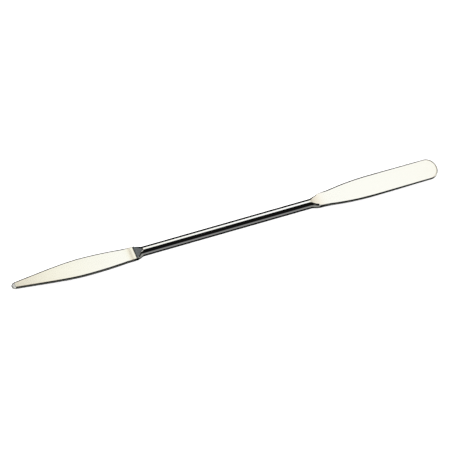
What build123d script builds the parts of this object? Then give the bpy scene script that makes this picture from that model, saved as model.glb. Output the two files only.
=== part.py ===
from build123d import *
from math import cos, radians, sin, tan
import os

# A double-ended sculpting spatula in stainless steel: a round shank with a thin, round-ended blade at one
# end and a pointed, leaf-shaped blade at the other. Each blade has a forged shoulder, where the round
# stock is pressed out flat, and it meets the shank's end face over the whole round section.
#
# Frame: +X runs along the tool towards the rounded blade, +Z is up, and the origin is the middle of the
# bounding box's underside. The round shank rests on Z = 0. All sizes are in millimetres and degrees.

# Whole tool
overall_length = 180.0
shank_diameter = 4.0
edge_radius = 0.3              # rounding of the blades' long edges

# Rounded blade. Lengths run outwards from its neck, where the round stock ends, and heights are above the
# shank's axis. The heel is where the shoulder ends and the thin blade starts.
rounded_length = 54.7          # neck to tip
rounded_ramp_start = 0.6       # neck to the point of the V that the pressed faces cut in the round stock
rounded_heel = 3.9             # neck to heel
rounded_heel_width = 5.75
rounded_heel_flare = 9.4       # angle between the outline and the axis at the heel
rounded_heel_height = 1.35     # upper face at the heel
rounded_heel_thickness = 2.0
rounded_width = 10.55          # at the widest place
rounded_widest = 28.2          # neck to the widest place
rounded_face_start = 14.0      # neck to where the upper face becomes flat and level
rounded_face_height = 1.04
rounded_face_thickness = 1.27  # where that level face starts
rounded_tip_thickness = 0.75
rounded_end_width = 10.2       # where the half-oval end begins
rounded_end_depth = 4.1        # length of the half-oval end

# Pointed blade, measured in the same way from its own neck. It rises a little towards its tip.
pointed_length = 55.4
pointed_ramp_start = 0.3
pointed_heel = 3.5
pointed_heel_width = 5.95
pointed_heel_flare = 6.5
pointed_heel_height = 0.6
pointed_heel_thickness = 1.3
pointed_width = 8.9
pointed_widest = 25.7
pointed_middle_height = 1.52   # upper face at the widest place
pointed_middle_thickness = 1.34
pointed_tip_height = 2.06      # upper face at the tip
pointed_tip_thickness = 0.75
pointed_tip_radius = 1.55
pointed_tip_taper = 6.9        # angle between the outline and the axis where the tip's arc begins

# Blank that a blade is cut from: the stock's end pressed out to an oval, then plain bar.
spread_length = 5.0            # neck to the full oval
blank_margin = 1.0             # how far the bar stands outside the finished blade
neck_clearance = 0.03          # how far the outline stands outside the round stock at the neck

# Derived places
shank_radius = shank_diameter / 2
rounded_neck_x = overall_length / 2 - rounded_length
pointed_neck_x = pointed_length - overall_length / 2
shank_length = rounded_neck_x - pointed_neck_x
blank_width = max(rounded_width, pointed_width) + 2 * blank_margin
blank_height = 2 * (max(shank_radius, pointed_tip_height) + blank_margin)
neck_half_width = shank_radius + neck_clearance

# Each blade has planes of its own through the shank's axis at its neck, with their local X outwards: a plan
# plane that faces up and a side plane along the tool. A section plane lies across the tool, facing outwards.
rounded_neck = (rounded_neck_x, 0, shank_radius)
rounded_plan = Plane(origin=rounded_neck, x_dir=(1, 0, 0), z_dir=(0, 0, 1))
rounded_side = Plane(origin=rounded_neck, x_dir=(1, 0, 0), z_dir=(0, -1, 0))
rounded_section = Plane(origin=rounded_neck, x_dir=(0, 1, 0), z_dir=(1, 0, 0))
pointed_neck = (pointed_neck_x, 0, shank_radius)
pointed_plan = Plane(origin=pointed_neck, x_dir=(-1, 0, 0), z_dir=(0, 0, 1))
pointed_side = Plane(origin=pointed_neck, x_dir=(-1, 0, 0), z_dir=(0, 1, 0))
pointed_section = Plane(origin=pointed_neck, x_dir=(0, -1, 0), z_dir=(-1, 0, 0))


def easy_curve(start, start_angle, end, end_angle, start_hold=0.35, end_hold=0.35):
    """Four Bezier points that leave start and reach end along the given angles to local X."""
    span = end[0] - start[0]
    leave = (
        start[0] + start_hold * span,
        start[1] + start_hold * span * tan(radians(start_angle)),
    )
    reach = (
        end[0] - end_hold * span,
        end[1] - end_hold * span * tan(radians(end_angle)),
    )
    return [start, leave, reach, end]


def face_outline(blade, heel_x, tip_x):
    """The long edges of a blade's two faces, from its heel to its tip."""
    curved = blade.edges().filter_by(GeomType.LINE, reverse=True)
    return curved.filter_by_position(Axis.X, min(heel_x, tip_x), max(heel_x, tip_x))


def ramp_foot(ramp_start, heel_point, side):
    """Where a pressed face, drawn on past the round stock, starts: side is 1 for upper and -1 for lower."""
    slope = (heel_point[1] - side * shank_radius) / (heel_point[0] - ramp_start)
    return (-blank_margin, side * shank_radius - slope * (ramp_start + blank_margin))


# Shank: plain round rod between the two necks.
with BuildPart() as shank_rod:
    with BuildSketch(rounded_section):
        Circle(shank_radius)
    extrude(amount=-shank_length)
shank_rod.part.label = "shank_rod"

# Rounded blade: its blank, cut to the plan outline and then to the side profile.
with BuildPart() as rounded_blade:
    with BuildSketch(rounded_section):
        Circle(shank_radius)
    with BuildSketch(rounded_section.offset(spread_length)):
        Ellipse(blank_width / 2, shank_radius)
    loft(ruled=True)
    with BuildSketch(rounded_section.offset(spread_length)):
        Rectangle(blank_width, blank_height)
    extrude(amount=rounded_length)

    with BuildSketch(rounded_plan.offset(-blank_height)):
        with BuildLine():
            neck_point = (0, neck_half_width)
            heel_point = (rounded_heel, rounded_heel_width / 2)
            wide_point = (rounded_widest, rounded_width / 2)
            end_centre = rounded_length - rounded_end_depth
            end_point = (end_centre, rounded_end_width / 2)
            Polyline((-blank_margin, 0), (-blank_margin, neck_half_width), neck_point)
            Bezier(*easy_curve(neck_point, 0, heel_point, rounded_heel_flare))
            Bezier(*easy_curve(heel_point, rounded_heel_flare, wide_point, 0, 0.42, 0.42))
            Bezier(*easy_curve(wide_point, 0, end_point, 0))
            EllipticalCenterArc(
                (end_centre, 0), rounded_end_depth, rounded_end_width / 2, arc_size=90
            )
            mirror(about=Plane.XZ)
        make_face()
    extrude(amount=2 * blank_height, mode=Mode.INTERSECT)

    with BuildSketch(rounded_side.offset(-blank_width)):
        with BuildLine():
            far_end = rounded_length + blank_margin
            upper_heel = (rounded_heel, rounded_heel_height)
            upper_face = (rounded_face_start, rounded_face_height)
            lower_heel = (rounded_heel, rounded_heel_height - rounded_heel_thickness)
            lower_face = (rounded_face_start, rounded_face_height - rounded_face_thickness)
            lower_tip = (rounded_length, rounded_face_height - rounded_tip_thickness)
            Line(ramp_foot(rounded_ramp_start, upper_heel, 1), upper_heel)
            Bezier(*easy_curve(upper_heel, 0, upper_face, 0))
            Polyline(upper_face, (far_end, rounded_face_height), (far_end, lower_tip[1]), lower_tip)
            Line(lower_tip, lower_face)
            Bezier(*easy_curve(lower_heel, 0, lower_face, 0))
            Polyline(
                lower_heel,
                ramp_foot(rounded_ramp_start, lower_heel, -1),
                ramp_foot(rounded_ramp_start, upper_heel, 1),
            )
        make_face()
    extrude(amount=2 * blank_width, mode=Mode.INTERSECT)
    fillet(face_outline(rounded_blade, rounded_neck_x + rounded_heel, overall_length / 2), edge_radius)
rounded_blade.part.label = "rounded_blade"

# Pointed blade: the same steps, with a leaf-shaped outline and a rounded point.
with BuildPart() as pointed_blade:
    with BuildSketch(pointed_section):
        Circle(shank_radius)
    with BuildSketch(pointed_section.offset(spread_length)):
        Ellipse(blank_width / 2, shank_radius)
    loft(ruled=True)
    with BuildSketch(pointed_section.offset(spread_length)):
        Rectangle(blank_width, blank_height)
    extrude(amount=pointed_length)

    with BuildSketch(pointed_plan.offset(-blank_height)):
        with BuildLine():
            neck_point = (0, neck_half_width)
            heel_point = (pointed_heel, pointed_heel_width / 2)
            wide_point = (pointed_widest, pointed_width / 2)
            tip_centre = pointed_length - pointed_tip_radius
            tip_point = (
                tip_centre + pointed_tip_radius * sin(radians(pointed_tip_taper)),
                pointed_tip_radius * cos(radians(pointed_tip_taper)),
            )
            Polyline((-blank_margin, 0), (-blank_margin, neck_half_width), neck_point)
            Bezier(*easy_curve(neck_point, 0, heel_point, pointed_heel_flare))
            Bezier(*easy_curve(heel_point, pointed_heel_flare, wide_point, 0))
            Bezier(*easy_curve(wide_point, 0, tip_point, -pointed_tip_taper, 0.25, 0.38))
            CenterArc((tip_centre, 0), pointed_tip_radius, 0, 90 - pointed_tip_taper)
            mirror(about=Plane.XZ)
        make_face()
    extrude(amount=2 * blank_height, mode=Mode.INTERSECT)

    with BuildSketch(pointed_side.offset(-blank_width)):
        with BuildLine():
            upper_heel = (pointed_heel, pointed_heel_height)
            upper_middle = (pointed_widest, pointed_middle_height)
            upper_tip = (pointed_length, pointed_tip_height)
            lower_heel = (pointed_heel, pointed_heel_height - pointed_heel_thickness)
            lower_middle = (pointed_widest, pointed_middle_height - pointed_middle_thickness)
            lower_tip = (pointed_length, pointed_tip_height - pointed_tip_thickness)
            upper_face = ThreePointArc(upper_heel, upper_middle, upper_tip)
            lower_face = ThreePointArc(lower_heel, lower_middle, lower_tip)
            far_end = pointed_length + blank_margin
            Polyline(upper_tip, (far_end, upper_tip[1]), (far_end, lower_tip[1]), lower_tip)
            Polyline(
                lower_heel,
                ramp_foot(pointed_ramp_start, lower_heel, -1),
                ramp_foot(pointed_ramp_start, upper_heel, 1),
                upper_heel,
            )
        make_face()
    extrude(amount=2 * blank_width, mode=Mode.INTERSECT)
    fillet(face_outline(pointed_blade, pointed_neck_x - pointed_heel, -overall_length / 2), edge_radius)
pointed_blade.part.label = "pointed_blade"

os.makedirs("parts", exist_ok=True)
export_step(shank_rod.part, "parts/shank_rod.step")
export_step(rounded_blade.part, "parts/rounded_blade.step")
export_step(pointed_blade.part, "parts/pointed_blade.step")
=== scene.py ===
import math

import bmesh
import bpy
import numpy as np
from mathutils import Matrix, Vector


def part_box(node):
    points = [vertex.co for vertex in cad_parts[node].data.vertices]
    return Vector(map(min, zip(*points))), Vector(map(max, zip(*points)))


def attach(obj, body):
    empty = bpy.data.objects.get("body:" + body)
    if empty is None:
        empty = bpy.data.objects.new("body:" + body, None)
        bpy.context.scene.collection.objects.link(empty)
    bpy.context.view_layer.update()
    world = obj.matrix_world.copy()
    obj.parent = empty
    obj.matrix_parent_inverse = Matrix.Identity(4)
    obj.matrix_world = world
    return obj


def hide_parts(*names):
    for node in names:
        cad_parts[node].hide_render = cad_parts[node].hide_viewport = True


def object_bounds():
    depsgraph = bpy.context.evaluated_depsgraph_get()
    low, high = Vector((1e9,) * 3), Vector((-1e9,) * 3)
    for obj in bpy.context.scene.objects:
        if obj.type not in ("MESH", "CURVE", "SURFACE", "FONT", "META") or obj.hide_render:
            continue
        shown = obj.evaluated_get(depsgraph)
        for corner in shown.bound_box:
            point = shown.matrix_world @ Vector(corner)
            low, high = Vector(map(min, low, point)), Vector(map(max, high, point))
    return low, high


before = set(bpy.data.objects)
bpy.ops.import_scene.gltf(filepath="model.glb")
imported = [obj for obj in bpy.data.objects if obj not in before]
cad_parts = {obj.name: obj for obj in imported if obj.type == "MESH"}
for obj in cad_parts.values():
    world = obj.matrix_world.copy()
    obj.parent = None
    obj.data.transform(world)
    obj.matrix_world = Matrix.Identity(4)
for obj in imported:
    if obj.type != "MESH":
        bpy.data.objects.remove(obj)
cad_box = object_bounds()

# The object is a double-ended spatula: shank along X, rounded blade towards +X, pointed blade towards -X.
# Shapes are worked out in millimetres in a blade's own terms: u runs outwards from its neck, y across it,
# and heights stand on the shank's axis. Everything that Blender gets is in metres.
MM = 0.001

rod_low, rod_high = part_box("shank_rod")
radius = (rod_high.z - rod_low.z) / 2 / MM
axis_z = (rod_high.z + rod_low.z) / 2 / MM


# ---------------------------------------------------------------------------------------------- shapes
class Blade:
    """Sizes of one blade: the ones that its CAD node gives, and the rest by name."""

    def __init__(self, node, outward, **sizes):
        low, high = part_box(node)
        self.node = node
        self.outward = outward
        self.neck_x = (low.x if outward > 0 else high.x) / MM
        self.length = (high.x - low.x) / MM
        self.width = (high.y - low.y) / MM
        self.__dict__.update(sizes)


rounded = Blade(
    "rounded_blade",
    outward=1,
    ramp_start=0.9,          # neck to the point of the V that the pressed faces cut in the round stock
    ramp_angle=26,           # how steeply the upper face leaves the round stock, and the lower one
    back_ramp_angle=40,
    face_start=12.5,         # neck to where the upper face becomes flat and level
    face_height=1.04,
    back_start=9.0,          # the same for the lower face
    back_thickness=1.27,
    tip_thickness=0.75,
    flare_start=0.8,         # neck to where the stock begins to widen, and where it stops
    flare_end=3.8,
    heel_width=5.7,
    heel_flare=9.4,          # angle between the outline and the axis at the heel
    widest=28.2,
    end_width=10.2,          # where the half-oval end begins
    end_depth=4.1,
    crease=0.3,              # how softly the faces leave the round stock
    rim_stretch=2.0,         # how much wider than high the rim's rounding is
)
pointed = Blade(
    "pointed_blade",
    outward=-1,
    ramp_start=0.3,
    heel=3.5,                # neck to the crease where the ramp ends
    heel_height=0.6,
    heel_thickness=1.3,
    heel_lift=0.24,          # the upper face stands this much higher at the crease, and eases down
    heel_ease=1.7,           # round about this distance from it
    middle_height=1.52,
    middle_thickness=1.34,
    tip_height=2.06,
    tip_thickness=1.15,      # before the upper face is eased down at the tip
    tip_roll=1.45,           # over this length, by this much
    tip_drop=0.6,
    flare_start=0.0,
    flare_end=2.6,
    heel_width=5.9,
    heel_flare=6.5,
    widest=25.7,
    tip_radius=1.55,
    tip_taper=6.9,           # angle between the outline and the axis where the tip's arc begins
    crease=0.25,
    rim_stretch=1.65,
)


HEEL = 3.0                    # neck to about where the shoulders end
HEEL_SOFTNESS = 1.2           # how gently the pointed blade's face eases down behind its crease
STATIONS = 190                # rings of points along a blade
MIDDLE, RIM, SIDE = 6, 6, 44  # mesh divisions: across a face's middle, near its rim, down the rounded side
NECK_ROUNDING = 0.12          # edge radius where the shoulder leaves the round stock
RIM_ROUNDING = 0.5            # edge radius of the blade proper, limited by half its thickness
SPREAD, SPREAD_LENGTH = 4, 5  # past the flare the stock grows wider than the outline by this much, over this
STOCK_RISE = 0.3              # and its half height grows by this share of the way
LEAST_REACH = 1.2             # a section is drawn at least this far out, also where the tip is narrower
RIM_REACH = 0.5               # how far in from the rounded side the rim's own rows go
OVERRUN = 2                   # how far a face's line runs past both ends of its blade


def easy_curve(start, start_angle, end, end_angle, start_hold=0.35, end_hold=0.35, count=60):
    """Points of a Bezier curve that leaves start and reaches end along the given angles to u. It holds each
    direction for about the given share of the span."""
    start, end = np.array(start, float), np.array(end, float)
    span = end[0] - start[0]
    leave = start + start_hold * span * np.array([1, math.tan(math.radians(start_angle))])
    reach = end - end_hold * span * np.array([1, math.tan(math.radians(end_angle))])
    t = np.linspace(0, 1, count)[:, None]
    return (1 - t) ** 3 * start + 3 * t * (1 - t) ** 2 * leave + 3 * t**2 * (1 - t) * reach + t**3 * end


def arc_through(first, middle, last, count=400):
    """Heights along the gentle arc through three points, as (u, height) rows."""
    u = np.linspace(first[0], last[0], count)
    bend = np.polyfit(*np.transpose((first, middle, last)), 2)
    return np.column_stack([u, np.polyval(bend, u)])


def rounded_outline(b):
    """Half widths along the rounded blade, as (u, y) rows: a flare, a long belly and a half-oval end."""
    heel = (b.flare_end, b.heel_width / 2)
    wide = (b.widest, b.width / 2)
    end_start = b.length - b.end_depth
    t = np.linspace(0, math.pi / 2, 90)
    oval = np.column_stack([end_start + b.end_depth * np.sin(t), b.end_width / 2 * np.cos(t)])
    return np.vstack(
        [
            [(0, radius)],
            easy_curve((b.flare_start, radius), 0, heel, b.heel_flare, start_hold=0.25, end_hold=0.5)[:-1],
            easy_curve(heel, b.heel_flare, wide, 0, start_hold=0.42, end_hold=0.42)[:-1],
            easy_curve(wide, 0, (end_start, b.end_width / 2), 0)[:-1],
            oval,
        ]
    )


def pointed_outline(b):
    """Half widths along the pointed blade, as (u, y) rows: a flare, a leaf shape and a small round nose."""
    heel = (b.flare_end, b.heel_width / 2)
    wide = (b.widest, b.width / 2)
    tip_centre = b.length - b.tip_radius
    t = np.linspace(math.radians(90 - b.tip_taper), 0, 90)
    nose = np.column_stack([tip_centre + b.tip_radius * np.cos(t), b.tip_radius * np.sin(t)])
    return np.vstack(
        [
            [(-0.01, radius)],  # the flare itself starts at 0
            easy_curve((b.flare_start, radius), 0, heel, b.heel_flare, start_hold=0.25, end_hold=0.5)[:-1],
            easy_curve(heel, b.heel_flare, wide, 0)[:-1],
            easy_curve(wide, 0, nose[0], -b.tip_taper, start_hold=0.25, end_hold=0.38)[:-1],
            nose,
        ]
    )


def face_line(b, side, *stretches):
    """A face's height along the whole blade: the round stock's, then the given stretches of points."""
    stock = [(-OVERRUN, side * radius), (b.ramp_start, side * radius)]
    line = np.vstack([stock, *stretches])
    return np.vstack([line, [(b.length + OVERRUN, line[-1][1])]])


def rounded_faces(b):
    """The rounded blade's softened face lines. They leave the round stock steeply and ease into the level
    blade with no crease."""
    face = (b.face_start, b.face_height)
    back = (b.back_start, b.face_height - b.back_thickness)
    upper = easy_curve((b.ramp_start, radius), -b.ramp_angle, face, 0, start_hold=0.13, end_hold=0.47)
    lower = easy_curve((b.ramp_start, -radius), b.back_ramp_angle, back, 0, start_hold=0.15, end_hold=0.6)
    upper_tip = (b.length, b.face_height)
    lower_tip = (b.length, b.face_height - b.tip_thickness)
    upper_line = face_line(b, 1, upper[1:], [upper_tip])
    lower_line = face_line(b, -1, lower[1:], [lower_tip])
    return softened(upper_line, b.crease), softened(lower_line, b.crease)


def pointed_faces(b):
    """The pointed blade's softened face lines. Flat ramps end in a crease, the blade then rises in a gentle
    arc, and the upper face is eased down at the tip."""
    upper = arc_through((b.heel, b.heel_height), (b.widest, b.middle_height), (b.length, b.tip_height))
    lower = arc_through(
        (b.heel, b.heel_height - b.heel_thickness),
        (b.widest, b.middle_height - b.middle_thickness),
        (b.length, b.tip_height - b.tip_thickness),
    )
    from_crease = upper[:, 0] - b.heel
    upper[:, 1] += b.heel_lift / 2 * (1 - np.tanh((from_crease - b.heel_ease) / HEEL_SOFTNESS))
    upper_u, upper_height = softened(face_line(b, 1, upper), b.crease)
    rolled = np.clip((upper_u - b.length) / b.tip_roll + 1, 0, 1)
    return (upper_u, upper_height - b.tip_drop * rolled), softened(face_line(b, -1, lower), b.crease)


def softened(line, spread):
    """A height line with its corners rounded over about the given distance: an even grid and its heights."""
    step = 0.02
    grid = np.arange(line[0][0], line[-1][0], step)
    height = np.interp(grid, line[:, 0], line[:, 1])
    reach = int(4 * spread / step)
    kernel = np.exp(-0.5 * (np.arange(-reach, reach + 1) * step / spread) ** 2)
    padded = np.pad(height, reach, mode="edge")
    return grid, np.convolve(padded, kernel / kernel.sum(), mode="valid")


def stations(outline):
    """Outline points spread by need, close together at the neck, the heel and the tip, and the directions
    square to the outline there."""
    step = np.hypot(*np.diff(outline, axis=0).T)
    along = np.concatenate([[0], np.cumsum(step)])
    fine = np.linspace(0, along[-1], 4000)
    u = np.interp(fine, along, outline[:, 0])
    half = np.interp(fine, along, outline[:, 1])

    def crowding(distance, extra, width):
        """Extra need of rows at a place, which tails off over about this width."""
        return extra * np.exp(-((distance / width) ** 2))

    need = 1.0 + crowding(u, 9, 3) + crowding(u - HEEL, 14, 1.6) + crowding(along[-1] - fine, 10, 3.5)
    share = np.concatenate([[0], np.cumsum((need[1:] + need[:-1]) / 2)])
    pick = np.interp(np.linspace(0, share[-1], STATIONS), share, fine)
    points = np.column_stack([np.interp(pick, fine, u), np.interp(pick, fine, half)])
    points[0] = (0, outline[0][1])
    points[-1] = outline[-1]
    run = np.gradient(points, axis=0)
    run[0], run[-1] = (1, 0), (0, -1)
    run /= np.linalg.norm(run, axis=1)[:, None]
    return points, np.column_stack([-run[:, 1], run[:, 0]])


def half_section(half_width, stock_half_width, stock_half_height, upper, lower, rounding, stretch):
    """Right half of a cross-section from its top centre to its bottom centre, as (y, z) rows: round stock
    spread to an oval, trimmed by the two faces and the outline. It is drawn smaller by the edge radius and
    grown back by it, which rounds its edges. They are ovals, as much wider than high as stretch says."""
    grown = min(rounding, 0.49 * (upper - lower))
    half_width, stock_half_width = half_width / stretch, stock_half_width / stretch
    core_half_height = stock_half_height - grown
    first = math.acos(min(1.0, (upper - grown) / core_half_height))
    last = math.acos(max(-1.0, (lower + grown) / core_half_height))
    t = np.linspace(first, last, 240)
    reach = np.minimum((stock_half_width - grown) * np.sin(t), half_width - grown)
    core = np.column_stack([reach, core_half_height * np.cos(t)])
    core = np.vstack([[(0, core[0][1])], core, [(0, core[-1][1])]])
    facing = np.linspace(0, math.pi, 400)
    outward = np.column_stack([np.sin(facing), np.cos(facing)])
    farthest = core[np.argmax(core @ outward.T, axis=0)]
    farthest[-1] = core[-1]
    half = (farthest + grown * outward) * (stretch, 1)
    along = np.concatenate([[0], np.cumsum(np.hypot(*np.diff(half, axis=0).T))])
    top_edge, bottom_edge = along[1], along[-2]

    def face_marks(edge):
        rim = min(RIM_REACH, 0.5 * edge)
        middle = np.linspace(0, edge - rim, MIDDLE + 1)
        return np.concatenate([middle, edge - rim * np.linspace(1, 0, RIM + 1)[1:] ** 2])

    top, bottom = face_marks(top_edge), along[-1] - face_marks(along[-1] - bottom_edge)[::-1]
    marks = np.concatenate([top, np.linspace(top[-1], bottom[0], SIDE + 1)[1:-1], bottom])
    return np.column_stack([np.interp(marks, along, half[:, 0]), np.interp(marks, along, half[:, 1])])


def blade_rings(b, outline, faces):
    """Right halves of the blade's rings of points, in (u, y, height) rows."""
    points, normals = stations(outline)
    upper_face, lower_face = faces
    rings = []
    for (u, half_width), normal in zip(points, normals):
        past_flare = max(0, u - b.flare_end)
        stock_half_width = half_width + min(SPREAD, SPREAD * past_flare / SPREAD_LENGTH)
        stock_half_height = radius + STOCK_RISE * past_flare
        upper = min(float(np.interp(u, *upper_face)), stock_half_height)
        lower = max(float(np.interp(u, *lower_face)), -stock_half_height)
        edged = min(1, past_flare / SPREAD_LENGTH)
        rounding = NECK_ROUNDING + edged * (RIM_ROUNDING - NECK_ROUNDING)
        stretch = 1 + edged * (b.rim_stretch - 1)
        reach = max(half_width, LEAST_REACH)
        section = half_section(reach, stock_half_width, stock_half_height, upper, lower, rounding, stretch)
        # Round its rim the section lies square to the outline, and each face's middle runs straight across.
        inset = min(reach, stock_half_width) - section[:, 0]
        ring_u = u - inset * normal[0]
        ring_y = half_width - inset * normal[1]
        for start, stop, step in ((MIDDLE, 0, -1), (len(section) - 1 - MIDDLE, len(section) - 1, 1)):
            edge_y = section[start][0]
            for k in range(start, stop + step, step):
                share = section[k][0] / edge_y if edge_y > 1e-9 else 0.0
                ring_u[k] = ring_u[start]
                ring_y[k] = ring_y[start] * share
        level = (section[:, 1] - lower) / (upper - lower)
        new_upper = np.minimum(np.interp(ring_u, *upper_face), stock_half_height)
        new_lower = np.maximum(np.interp(ring_u, *lower_face), -stock_half_height)
        rings.append(np.column_stack([ring_u, ring_y, new_lower + level * (new_upper - new_lower)]))
    return rings


def skin(name, rings, place, capped_ends, rims=None):
    """A closed mesh through rings of points, each a right half that is mirrored to its left. place turns a
    point's (u, y, height) into metres in the row's frame. Only the ends named in capped_ends get a disc.
    rims says how far each point of a half is on the worn edge, from 0 to 1."""
    mesh = bpy.data.meshes.new(name)
    bm = bmesh.new()
    uv = bm.loops.layers.uv.new("along")
    worn = bm.verts.layers.float.new("rim")
    rows = []
    for ring in rings:
        whole = np.vstack([ring, (ring * (1, -1, 1))[-2:0:-1]])
        rows.append([bm.verts.new(place(*p)) for p in whole])
        if rims is not None:
            for vert, rim in zip(rows[-1], np.concatenate([rims, rims[-2:0:-1]])):
                vert[worn] = rim
    count = len(rows[0])
    for i in range(len(rows) - 1):
        for k in range(count):
            after = (k + 1) % count
            corners = (rows[i][k], rows[i][after], rows[i + 1][after], rows[i + 1][k])
            face = bm.faces.new(corners)
            face.smooth = True
            across = (k, k + 1, k + 1, k)
            for loop, share in zip(face.loops, across):
                loop[uv].uv = (loop.vert.co.x, share / count * radius * MM * 2 * math.pi)
    for end in capped_ends:
        row = rows[end]
        middle = bm.verts.new(sum((v.co for v in row), Vector()) / count)
        middle.co.y, middle.co.z = 0, axis_z * MM
        for k in range(count):
            bm.faces.new((row[k], row[(k + 1) % count], middle))
            bm.edges.get((row[k], row[(k + 1) % count])).smooth = False
    bmesh.ops.remove_doubles(bm, verts=bm.verts, dist=1e-7)
    bmesh.ops.dissolve_degenerate(bm, edges=bm.edges, dist=1e-8)
    bmesh.ops.recalc_face_normals(bm, faces=bm.faces)
    bm.to_mesh(mesh)
    bm.free()
    piece = bpy.data.objects.new(name, mesh)
    bpy.context.scene.collection.objects.link(piece)
    return piece


def build_blade(name, b, outline, faces):
    """The skin of one blade: a disc at its neck, and a last ring at its tip that is folded shut."""

    def place(u, y, height):
        return ((b.neck_x + b.outward * u) * MM, y * MM, (axis_z + height) * MM)

    on_face, at_rim = np.zeros(MIDDLE), np.linspace(0, 1, RIM + 1)
    rims = np.concatenate([on_face, at_rim, np.ones(SIDE - 1), at_rim[::-1], on_face])
    return skin(name, blade_rings(b, outline, faces), place, capped_ends=[0], rims=rims)


def build_shank(name):
    """The round bar between the necks, with enough sides for a mirror polish."""
    sides, steps = 72, 90
    t = np.linspace(0, math.pi, sides + 1)
    rings = []
    for x in np.linspace(rod_low.x, rod_high.x, steps + 1) / MM:
        rings.append(np.column_stack([np.full_like(t, x), radius * np.sin(t), radius * np.cos(t)]))
    return skin(name, rings, lambda x, y, h: (x * MM, y * MM, (axis_z + h) * MM), capped_ends=[0, steps])


# ------------------------------------------------------------------------------------------- materials
def new_material(name):
    """A new material, its node tree and its Principled shader."""
    material = bpy.data.materials.new(name)
    material.use_nodes = True
    tree = material.node_tree
    return material, tree, tree.nodes["Principled BSDF"]


def node(tree, kind, inputs=None, **settings):
    """A new shader node with the given values on its inputs and the given settings."""
    made = tree.nodes.new(kind)
    for key, value in settings.items():
        setattr(made, key, value)
    for key, value in (inputs or {}).items():
        made.inputs[key].default_value = value
    return made


def steel(name, tint, roughness, line_depth):
    """Stainless steel with fine lengthwise lines left by polishing, cloudy patches where it has been handled,
    stray hairline scratches, and edges rubbed bright."""
    material, tree, surface = new_material(name)
    link = tree.links.new
    surface.inputs["Metallic"].default_value = 1.0
    surface.inputs["Base Color"].default_value = (*tint, 1)
    where = node(tree, "ShaderNodeTexCoord")

    def noise(lengthwise, crosswise, turn=0, **inputs):
        """Noise with this many grains to the metre along and across the tool, turned about the vertical."""
        stretch = (lengthwise, crosswise, crosswise)
        laid = node(tree, "ShaderNodeMapping", {"Scale": stretch, "Rotation": (0, 0, math.radians(turn))})
        link(where.outputs["Object"], laid.inputs["Vector"])
        made = node(tree, "ShaderNodeTexNoise", {"Scale": 1.0, **inputs})
        link(laid.outputs["Vector"], made.inputs["Vector"])
        return made

    def combined(operation, first, second):
        made = node(tree, "ShaderNodeMath", operation=operation)
        link(first, made.inputs[0])
        link(second, made.inputs[1])
        return made.outputs[0]

    lines = noise(260, 26000, Detail=4.0, Roughness=0.6)
    clouds = noise(70, 190, Detail=3.0, Roughness=0.55)
    cloudiness = {"From Min": 0.3, "From Max": 0.7, "To Min": 0.8, "To Max": 1.25}
    dulled = node(tree, "ShaderNodeMapRange", cloudiness)
    link(clouds.outputs["Fac"], dulled.inputs["Value"])
    grained = node(tree, "ShaderNodeMapRange", {"To Min": roughness * 0.8, "To Max": roughness * 1.25})
    link(lines.outputs["Fac"], grained.inputs["Value"])
    rim = node(tree, "ShaderNodeAttribute", attribute_name="rim")
    rubbed = node(tree, "ShaderNodeMapRange", {"To Min": 1.0, "To Max": 0.6})
    link(rim.outputs["Fac"], rubbed.inputs["Value"])
    dull = combined("MULTIPLY", grained.outputs["Result"], dulled.outputs["Result"])
    link(combined("MULTIPLY", dull, rubbed.outputs["Result"]), surface.inputs["Roughness"])

    depth = lines.outputs["Fac"]
    for turn, lengthwise, crosswise in ((14, 55, 1500), (-23, 70, 2100), (68, 120, 2600)):
        hair = noise(lengthwise, crosswise, turn, Detail=1.0)
        scratch = node(tree, "ShaderNodeMapRange", {"From Min": 0.735, "From Max": 0.76})
        link(hair.outputs["Fac"], scratch.inputs["Value"])
        depth = combined("SUBTRACT", depth, scratch.outputs["Result"])
    bump = node(tree, "ShaderNodeBump", {"Strength": line_depth, "Distance": 0.02 * MM})
    link(depth, bump.inputs["Height"])
    link(bump.outputs["Normal"], surface.inputs["Normal"])
    return material


# ---------------------------------------------------------------------------------- pieces of the tool
shank = build_shank("shank_polished")
round_end = build_blade("rounded_blade_ground", rounded, rounded_outline(rounded), rounded_faces(rounded))
point_end = build_blade("pointed_blade_ground", pointed, pointed_outline(pointed), pointed_faces(pointed))

shank_steel = steel("polished_steel", tint=(0.8, 0.8, 0.785), roughness=0.05, line_depth=0.1)
blade_steel = steel("satin_steel", tint=(0.8, 0.8, 0.74), roughness=0.10, line_depth=0.2)

for piece, cad_node, finish, slot in (
    (shank, "shank_rod", shank_steel, "polished_shank"),
    (round_end, "rounded_blade", blade_steel, "satin_blade"),
    (point_end, "pointed_blade", blade_steel, "satin_blade"),
):
    piece.data.materials.append(finish)
    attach(piece, "root")
    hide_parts(cad_node)


# --------------------------------------------------------------------------------------------- staging
def direction(azimuth, elevation):
    """Unit vector from the object towards a viewer at these angles; azimuth 0 is on the -Y side."""
    a, e = math.radians(azimuth), math.radians(elevation)
    return Vector((math.sin(a) * math.cos(e), -math.cos(a) * math.cos(e), math.sin(e)))


def aim(thing, towards, distance, target):
    """Place a camera or a light this far from the target in a direction, looking back at it."""
    thing.location = target + towards * distance
    thing.rotation_euler = (-towards).to_track_quat("-Z", "Y").to_euler()


low, high = cad_box
centre = (low + high) / 2

VIEW_AZIMUTH, VIEW_ELEVATION = -19.4, 54
CAMERA_DISTANCE = 5.0
ASIDE, UPWARD = 0.00004, 0.00121  # how far the view's middle lies from the tool's
SENSOR_WIDTH = 36
frame_width = 0.99834 * (high.x - low.x)  # width of the view at the tool

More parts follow.
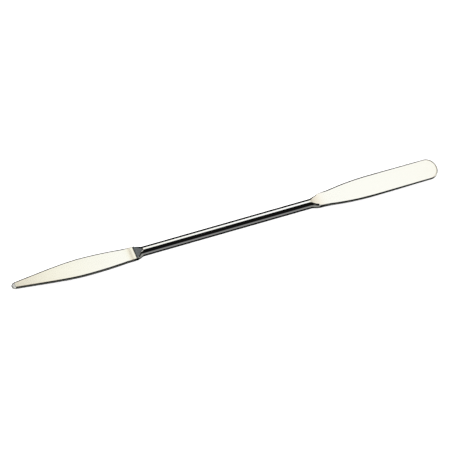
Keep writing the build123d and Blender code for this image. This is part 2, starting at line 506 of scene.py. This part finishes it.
camera = bpy.data.objects.new("camera", bpy.data.cameras.new("camera"))
bpy.context.scene.collection.objects.link(camera)
bpy.context.scene.camera = camera
camera.data.type = "PERSP"
camera.data.sensor_width = SENSOR_WIDTH
camera.data.lens = SENSOR_WIDTH * CAMERA_DISTANCE / frame_width
camera.data.clip_end = 4 * CAMERA_DISTANCE
aim(camera, direction(VIEW_AZIMUTH, VIEW_ELEVATION), CAMERA_DISTANCE, centre)
camera.location += camera.rotation_euler.to_matrix() @ Vector((ASIDE, UPWARD, 0))

# A light from straight above brings the floor up to white, and the steel doesn't mirror it.
FILL_SIZE, FILL_HEIGHT, FILL_POWER = 2.5, 1.5, 62
fill_light = bpy.data.lights.new("floor_fill", "AREA")
fill_light.size = FILL_SIZE
fill_light.energy = FILL_POWER
fill_light.use_shadow = False
floor_fill = bpy.data.objects.new("floor_fill", fill_light)
bpy.context.scene.collection.objects.link(floor_fill)
aim(floor_fill, Vector((0, 0, 1)), FILL_HEIGHT, centre)
floor_fill.visible_glossy = False
floor_fill.visible_camera = False

FLOOR_HALF, FLOOR_GAP = 3.0, 0.0001
floor_z = low.z - FLOOR_GAP
floor_corners = [(x * FLOOR_HALF, y * FLOOR_HALF, floor_z) for x, y in ((-1, -1), (1, -1), (1, 1), (-1, 1))]
floor_mesh = bpy.data.meshes.new("floor")
floor_mesh.from_pydata(floor_corners, [], [(0, 1, 2, 3)])
floor = bpy.data.objects.new("floor", floor_mesh)
bpy.context.scene.collection.objects.link(floor)
floor_material, _, floor_surface = new_material("pale_floor")
floor_surface.inputs["Base Color"].default_value = (0.9, 0.9, 0.9, 1)
floor_surface.inputs["Roughness"].default_value = 1.0
floor_surface.inputs["Specular IOR Level"].default_value = 0.0
floor.data.materials.append(floor_material)
floor.visible_glossy = False


def ramp(tree, *stops):
    """A colour ramp through the given (position, colour) stops, in order."""
    made = node(tree, "ShaderNodeValToRGB")
    elements = made.color_ramp.elements
    for index, (position, colour) in enumerate(stops):
        element = elements[index] if index < 2 else elements.new(position)
        element.position, element.color = position, (*colour, 1)
    return made


SOFTBOX_POWER = 1.22                     # brightness against the white backdrop
SOFTBOX_DISTANCE = 0.6                   # from the tool's middle
SOFTBOX_LEFT, SOFTBOX_RIGHT = -0.9, 0.65
SOFTBOX_BOTTOM, SOFTBOX_TOP = 40, 85     # heights above the far horizon, in degrees


def build_softbox():
    """A long panel above the far side. Its right part is lit and fades to warm edges. Left of that come a
    dark gap, a dim grey stretch that the pointed blade's ramp mirrors, a pale strip that its eased-down tip
    mirrors, and dark again."""
    tilt = math.radians((SOFTBOX_BOTTOM + SOFTBOX_TOP) / 2)
    half_height = SOFTBOX_DISTANCE * math.tan(math.radians(SOFTBOX_TOP - SOFTBOX_BOTTOM) / 2)
    middle = centre + SOFTBOX_DISTANCE * Vector((0, math.cos(tilt), math.sin(tilt)))
    rise = half_height * Vector((0, -math.sin(tilt), math.cos(tilt)))
    left, right = Vector((SOFTBOX_LEFT, 0, 0)), Vector((SOFTBOX_RIGHT, 0, 0))
    corners = [middle + left - rise, middle + right - rise, middle + right + rise, middle + left + rise]
    mesh = bpy.data.meshes.new("softbox")
    mesh.from_pydata(corners, [], [(0, 1, 2, 3)])
    panel = bpy.data.objects.new("softbox", mesh)
    bpy.context.scene.collection.objects.link(panel)
    panel.visible_camera = False

    material, tree, surface = new_material("softbox_cloth")
    tree.nodes.remove(surface)
    link = tree.links.new
    where = node(tree, "ShaderNodeTexCoord")
    split = node(tree, "ShaderNodeSeparateXYZ")
    link(where.outputs["Object"], split.inputs["Vector"])
    along = node(tree, "ShaderNodeMapRange", {"From Min": SOFTBOX_LEFT, "From Max": SOFTBOX_RIGHT})
    link(split.outputs["X"], along.inputs["Value"])

    def at(x):
        """Place on the ramp of a distance from the panel's middle, in metres along the tool."""
        return (x - SOFTBOX_LEFT) / (SOFTBOX_RIGHT - SOFTBOX_LEFT)

    cloth = ramp(
        tree,
        (at(-0.55), (0.02, 0.02, 0.02)),
        (at(-0.47), (0.6, 0.6, 0.62)),
        (at(-0.345), (0.6, 0.6, 0.62)),
        (at(-0.325), (0.122, 0.131, 0.146)),
        (at(-0.20), (0.11, 0.12, 0.135)),
        (at(-0.15), (0.01, 0.01, 0.01)),
        (at(-0.02), (0.03, 0.025, 0.02)),
        (at(0.02), (0.74, 0.675, 0.59)),
        (at(0.05), (0.94, 0.91, 0.81)),
        (at(0.09), (0.975, 0.97, 0.93)),
        (at(0.13), (1, 1, 1)),
        (at(0.215), (1, 1, 1)),
        (at(0.25), (0.97, 0.92, 0.86)),
        (at(0.31), (0.88, 0.82, 0.74)),
        (at(0.50), (0.70, 0.65, 0.57)),
        (at(0.62), (0.2, 0.18, 0.16)),
    )
    link(along.outputs["Result"], cloth.inputs["Fac"])
    glow = node(tree, "ShaderNodeEmission", {"Strength": SOFTBOX_POWER})
    link(cloth.outputs["Color"], glow.inputs["Color"])
    link(glow.outputs["Emission"], tree.nodes["Material Output"].inputs["Surface"])
    panel.data.materials.append(material)


def studio_world():
    """Light from all round: white where the camera sees past the floor, and for the steel to mirror a dark
    room that has a grey band at the viewer's horizon, pale walls off its ends and a strip of pale ceiling."""
    world = bpy.data.worlds.new("studio")
    bpy.context.scene.world = world
    world.use_nodes = True
    tree = world.node_tree
    link = tree.links.new
    where = node(tree, "ShaderNodeTexCoord")
    split = node(tree, "ShaderNodeSeparateXYZ")
    link(where.outputs["Generated"], split.inputs["Vector"])
    nearer = node(tree, "ShaderNodeMath", {1: -1.0}, operation="MULTIPLY")
    link(split.outputs["Y"], nearer.inputs[0])
    turn = node(tree, "ShaderNodeMath", operation="ARCTAN2")
    link(split.outputs["Z"], turn.inputs[0])
    link(nearer.outputs[0], turn.inputs[1])
    around = node(tree, "ShaderNodeMapRange", {"From Min": -math.pi, "From Max": math.pi})
    link(turn.outputs[0], around.inputs["Value"])

    def at(angle):
        """Place on the ramp of an angle round the tool: 0 is the viewer's horizon, 90 is overhead."""
        return (angle + 180) / 360

    def off(x):
        """Place on the ramp of how far a direction leans along the tool, from -1 to 1."""
        return (x + 1) / 2

    def shade(value):
        return (value, value, value)

    black, dark, grey, pale, white = shade(0.0), shade(0.006), shade(0.29), shade(0.6), shade(1.0)
    horizon = ramp(tree, (at(-36), black), (at(-26), grey), (at(5), grey), (at(14), black))
    link(around.outputs["Result"], horizon.inputs["Fac"])

    # The end walls fade out between them, and low down, most of all on the far side.
    ends = ramp(tree, (off(-0.6), pale), (off(-0.13), dark), (off(0.5), dark), (off(0.8), pale))
    sideways = node(tree, "ShaderNodeMapRange", {"From Min": -1.0})
    link(split.outputs["X"], sideways.inputs["Value"])
    link(sideways.outputs["Result"], ends.inputs["Fac"])
    height = ramp(
        tree,
        (at(-180), shade(0.1)),
        (at(-10), shade(0.2)),
        (at(15), shade(0.6)),
        (at(45), shade(1.0)),
        (at(130), shade(0.9)),
        (at(144), shade(0.25)),
        (at(180), shade(0.15)),
    )
    link(around.outputs["Result"], height.inputs["Fac"])

    # The strip of ceiling has a gap, which the shank mirrors for the camera.
    overhead = ramp(tree, (at(74), black), (at(82), shade(0.8)), (at(92), shade(0.8)), (at(94.5), black))
    link(around.outputs["Result"], overhead.inputs["Fac"])
    inner = ramp(tree, (off(0.02), white), (off(0.1), black), (off(0.45), black), (off(0.6), white))
    link(sideways.outputs["Result"], inner.inputs["Fac"])

    def blended(kind, first, second):
        made = node(tree, "ShaderNodeMixRGB", {"Fac": 1.0}, blend_type=kind)
        link(first, made.inputs[1])
        link(second, made.inputs[2])
        return made.outputs[0]

    walls = blended("MULTIPLY", ends.outputs["Color"], height.outputs["Color"])
    ceiling = blended("MULTIPLY", overhead.outputs["Color"], inner.outputs["Color"])
    lit = blended("ADD", blended("ADD", horizon.outputs["Color"], walls), ceiling)
    room = node(tree, "ShaderNodeBackground")
    link(lit, room.inputs["Color"])
    backdrop = tree.nodes["Background"]
    backdrop.inputs["Color"].default_value = (*white, 1)
    path = node(tree, "ShaderNodeLightPath")
    choose = node(tree, "ShaderNodeMixShader")
    link(path.outputs["Is Camera Ray"], choose.inputs["Fac"])
    link(room.outputs["Background"], choose.inputs[1])
    link(backdrop.outputs["Background"], choose.inputs[2])
    link(choose.outputs["Shader"], tree.nodes["World Output"].inputs["Surface"])


build_softbox()
studio_world()
bpy.context.scene.view_settings.view_transform = "Standard"
